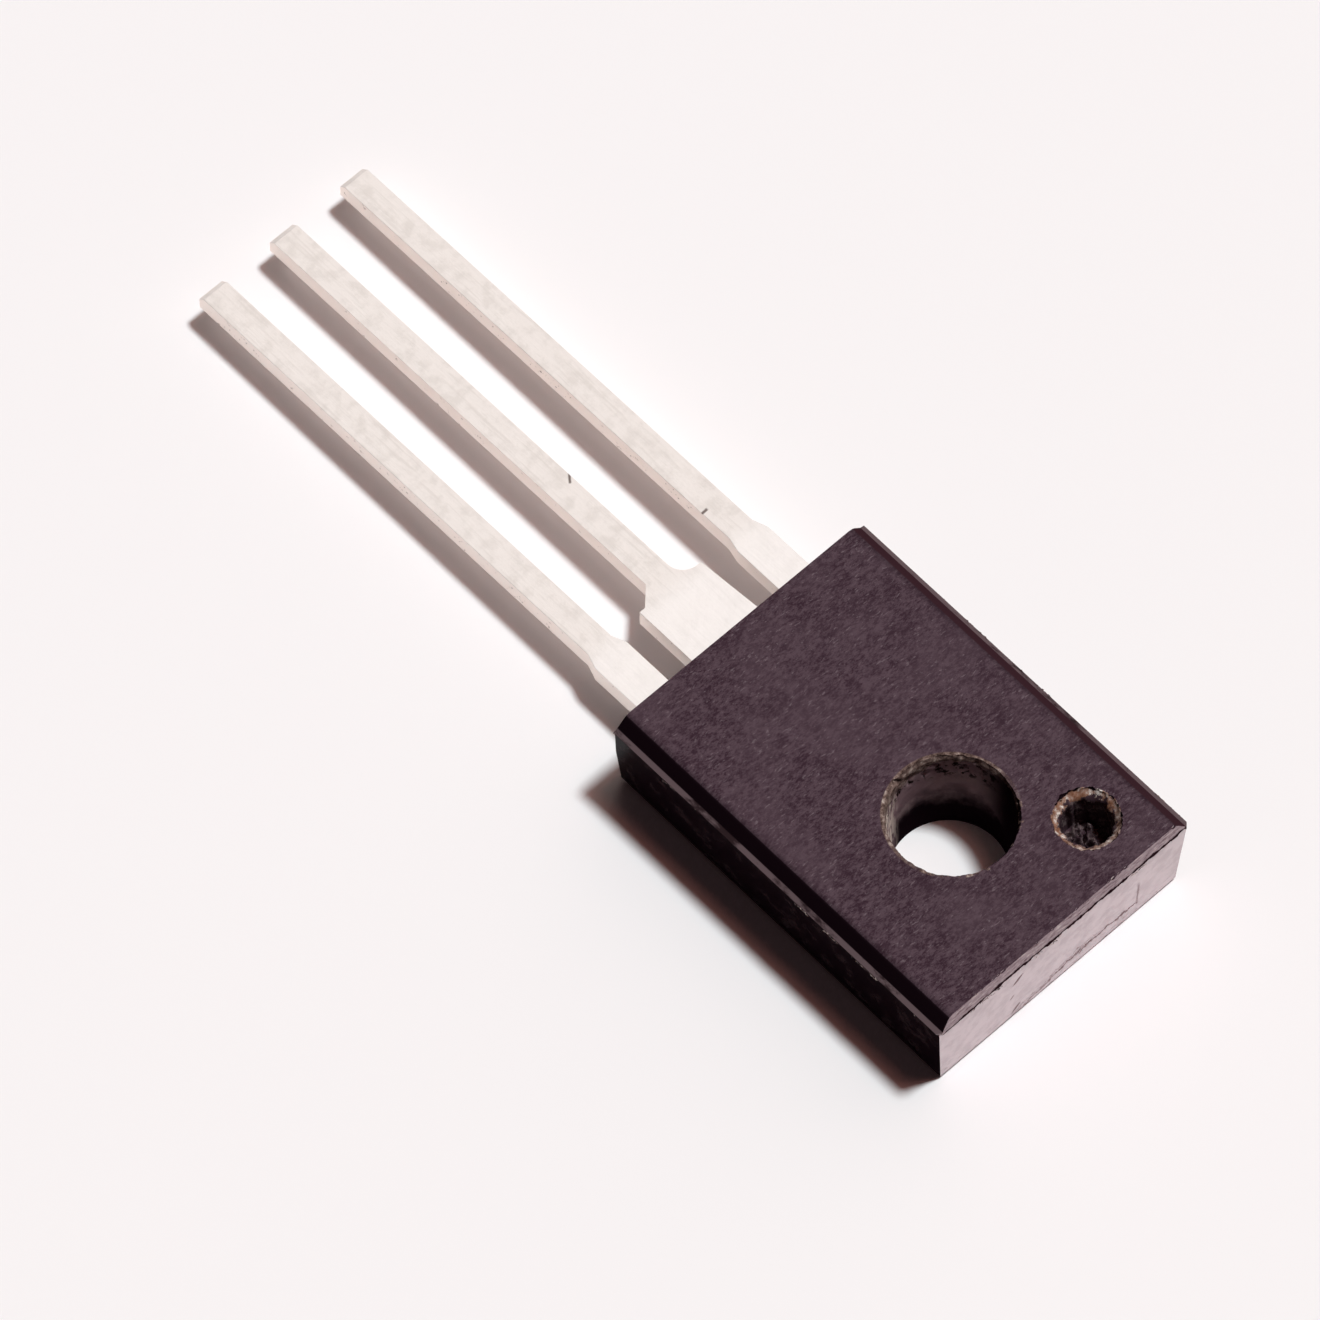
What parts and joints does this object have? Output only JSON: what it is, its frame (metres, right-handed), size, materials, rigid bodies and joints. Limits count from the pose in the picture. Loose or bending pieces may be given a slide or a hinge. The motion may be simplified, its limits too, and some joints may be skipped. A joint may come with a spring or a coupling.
{
  "type": "bipolar transistor",
  "caption": "Flat moulded power transistor with a screw hole, metal-backed, with flat tinned leads running out of one end.",
  "frame": {"origin": "axis of the mounting hole, on the back face that sits on a heat sink", "axes": "+Z out of the plain front face along the hole's axis, +Y towards the hole end so the leads run along -Y, +X towards the base lead's side"},
  "size_m": [0.0082, 0.027, 0.003],
  "materials": {
    "epoxy": "matte, spark-eroded front face, dark purple-grey",
    "tinned_copper": "matte tin plating over copper",
    "silicon": "polished",
    "solder": "satin",
    "bond_wire": "bright drawn wire"
  },
  "bodies": {
    "root": {"epoxy_case": "epoxy", "collector_tab": "tinned_copper", "base_lead": "tinned_copper", "emitter_lead": "tinned_copper", "silicon_die": "silicon", "die_solder": "solder", "base_wire": "bond_wire", "emitter_wire": "bond_wire"}
  },
  "joints": []
}
